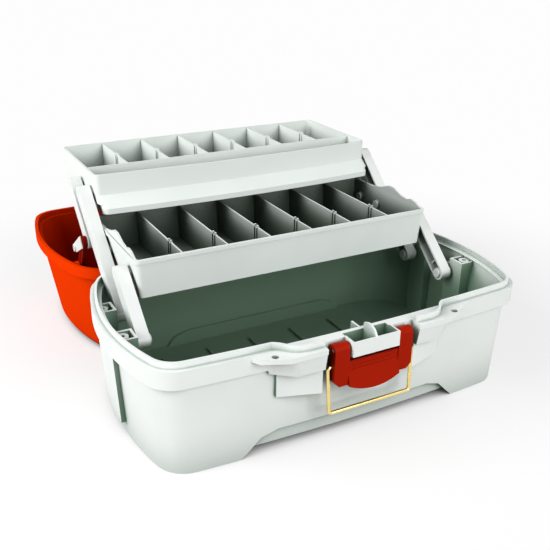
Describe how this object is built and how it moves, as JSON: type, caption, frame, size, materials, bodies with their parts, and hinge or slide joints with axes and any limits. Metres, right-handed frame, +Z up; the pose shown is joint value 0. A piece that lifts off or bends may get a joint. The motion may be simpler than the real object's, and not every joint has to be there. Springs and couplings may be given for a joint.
{
  "type": "cantilever tray tackle box",
  "caption": "Open tackle box: tub with bowed ends, lid swung back flat, cantilever trays on channel arms, and a front latch lever with a wire bail.",
  "frame": {"origin": "on the floor, under the middle of the open box's outline, close to the rear hinge line", "axes": "+X along the box to the right as seen from the latch, +Y from the latch to the opened lid, +Z up"},
  "size_m": [0.42, 0.4964, 0.2066],
  "materials": {
    "white_shell": "satin moulded, fine grain",
    "white_tray": "satin moulded",
    "white_arm": "satin moulded",
    "white_pin": "satin moulded",
    "orange_shell": "satin moulded",
    "red_latch": "satin moulded",
    "grey_handle": "satin moulded",
    "brass_wire": "drawn and plated",
    "steel_pin": "drawn"
  },
  "bodies": {
    "base": {"base_shell": "white_shell", "hinge_pins": "steel_pin", "base_pivot_pins": "white_pin", "latch_pins": "steel_pin"},
    "lid": {"lid_shell": "orange_shell", "lid_link_pins": "orange_shell", "handle_pins": "steel_pin"},
    "front_arms": {"front_arm_left": "white_arm", "front_arm_right": "white_arm"},
    "long_arms": {"long_arm_left": "white_arm", "long_arm_right": "white_arm"},
    "rear_links": {"rear_link_left": "white_arm", "rear_link_right": "white_arm"},
    "lid_links": {"lid_link_left": "orange_shell", "lid_link_right": "orange_shell"},
    "low_tray": {"lower_tray": "white_tray", "lower_tray_pins": "white_pin"},
    "high_tray": {"upper_tray": "white_tray", "upper_tray_pins": "white_pin"},
    "latch": {"latch_lever": "red_latch"},
    "bail": {"latch_bail": "brass_wire"},
    "handle": {"carry_handle": "grey_handle"}
  },
  "joints": [
    {"name": "lid_hinge", "type": "hinge", "parent": "base", "child": "lid", "pos_m": [0, 0.00225, 0.1092], "axis": [1, 0, 0], "range_deg": [0, 180]},
    {"name": "front_arm_pivot", "type": "hinge", "parent": "base", "child": "front_arms", "pos_m": [0, -0.12275, 0.09], "axis": [1, 0, 0], "range_deg": [0, 104.01]},
    {"name": "long_arm_pivot", "type": "hinge", "parent": "base", "child": "long_arms", "pos_m": [0, -0.06075, 0.09], "axis": [1, 0, 0], "range_deg": [0, 104.01]},
    {"name": "low_tray_pivot", "type": "hinge", "parent": "long_arms", "child": "low_tray", "pos_m": [0, -0.00873, 0.13684], "axis": [1, 0, 0], "range_deg": [-104.01, 0]},
    {"name": "high_tray_pivot", "type": "hinge", "parent": "long_arms", "child": "high_tray", "pos_m": [0, 0.04329, 0.18368], "axis": [1, 0, 0], "range_deg": [-104.01, 0]},
    {"name": "rear_link_pivot", "type": "hinge", "parent": "low_tray", "child": "rear_links", "pos_m": [0, 0.02727, 0.13684], "axis": [1, 0, 0], "range_deg": [0, 104.01]},
    {"name": "lid_link_pivot", "type": "hinge", "parent": "lid", "child": "lid_links", "pos_m": [0, 0.04788, 0.1012], "axis": [1, 0, 0], "range_deg": [-136.92, 0]},
    {"name": "latch_pivot", "type": "hinge", "parent": "base", "child": "latch", "pos_m": [0, -0.23825, 0.1025], "axis": [-1, 0, 0], "range_deg": [0, 90]},
    {"name": "bail_pivot", "type": "hinge", "parent": "latch", "child": "bail", "pos_m": [0, -0.23825, 0.086], "axis": [-1, 0, 0], "range_deg": [0, 120]},
    {"name": "handle_pivot", "type": "hinge", "parent": "lid", "child": "handle", "pos_m": [0, 0.09225, 0.0086], "axis": [-1, 0, 0], "range_deg": [0, 90]}
  ],
  "couplings": [
    {"joint": "front_arm_pivot", "follows": "lid_hinge", "ratio": 0.57778},
    {"joint": "long_arm_pivot", "follows": "lid_hinge", "ratio": 0.57778},
    {"joint": "low_tray_pivot", "follows": "lid_hinge", "ratio": -0.57778},
    {"joint": "high_tray_pivot", "follows": "lid_hinge", "ratio": -0.57778},
    {"joint": "rear_link_pivot", "follows": "lid_hinge", "ratio": 0.57778},
    {"joint": "lid_link_pivot", "follows": "lid_hinge", "ratio": -0.7606}
  ]
}
